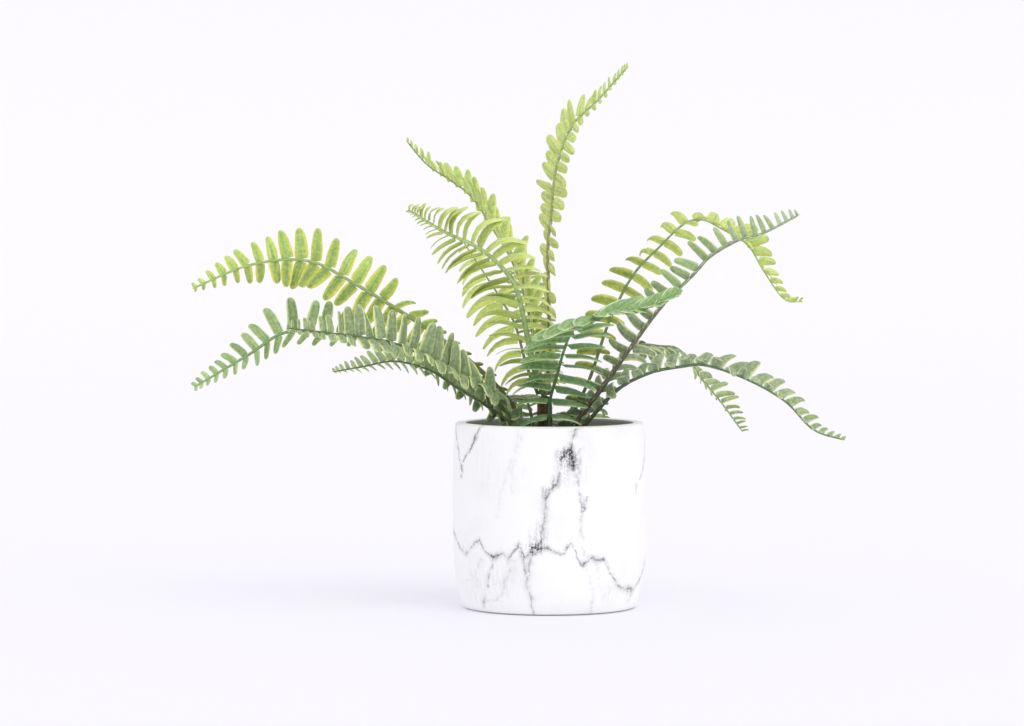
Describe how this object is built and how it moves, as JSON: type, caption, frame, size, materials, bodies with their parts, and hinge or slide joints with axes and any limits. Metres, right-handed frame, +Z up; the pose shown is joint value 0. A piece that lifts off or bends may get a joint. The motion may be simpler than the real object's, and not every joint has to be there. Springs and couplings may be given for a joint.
{
  "type": "potted fern",
  "caption": "Fern with arching pinnate fronds rising from one crown, in a round straight-sided marbled ceramic pot that stands on its flat underside.",
  "frame": {"origin": "middle of the pot's flat underside", "axes": "+Z up, -Y towards the front of the plant, +X to the right seen from the front"},
  "size_m": [0.4083, 0.2254, 0.3362],
  "materials": {
    "marbled_ceramic": "satin",
    "potting_soil": "matte",
    "old_stalks": "matte",
    "bright_frond": "satin",
    "mid_frond": "satin",
    "deep_frond": "satin"
  },
  "bodies": {
    "root": {"pot": "marbled_ceramic", "soil": "potting_soil", "crown": "old_stalks", "frond_left_upper": "bright_frond", "frond_centre_left": "bright_frond", "frond_high_left": "bright_frond", "frond_top": "bright_frond", "frond_right_upper": "bright_frond", "frond_inner_left": "bright_frond", "frond_left_long": "mid_frond", "frond_right_drooping": "mid_frond", "frond_back_high": "mid_frond", "frond_back_left": "mid_frond", "frond_back_right": "mid_frond", "frond_front": "deep_frond", "frond_left_front": "deep_frond", "frond_left_small": "deep_frond", "frond_right_long": "deep_frond", "frond_right_lower": "deep_frond"}
  },
  "joints": []
}
